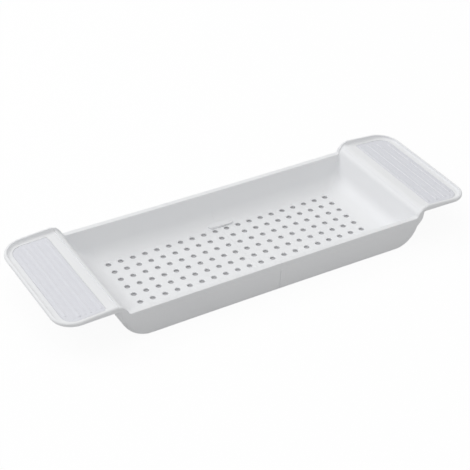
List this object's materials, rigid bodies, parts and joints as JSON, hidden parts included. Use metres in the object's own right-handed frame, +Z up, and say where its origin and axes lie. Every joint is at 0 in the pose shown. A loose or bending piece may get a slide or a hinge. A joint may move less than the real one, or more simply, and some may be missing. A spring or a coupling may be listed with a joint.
{
  "type": "bath caddy",
  "caption": "Bath caddy: perforated tray with hollow side walls, lipped end wings with soft ribbed grips, and halves that plug together at mid-length.",
  "frame": {"origin": "centre of the underside of the floor, at mid-length and mid-width", "axes": "+X along the tray from the left half to the right half, +Y across it, +Z up"},
  "size_m": [0.648, 0.2058, 0.0597],
  "materials": {
    "white_plastic": "satin moulded white",
    "soft_grip": "matt soft-touch light grey"
  },
  "bodies": {
    "left": {"tray_half_left": "white_plastic", "grip_left": "soft_grip"},
    "right": {"tray_half_right": "white_plastic", "grip_right": "soft_grip"}
  },
  "joints": [
    {"name": "pull_apart", "type": "slide", "parent": "left", "child": "right", "axis": [1, 0, 0], "range_m": [0, 0.06]}
  ]
}
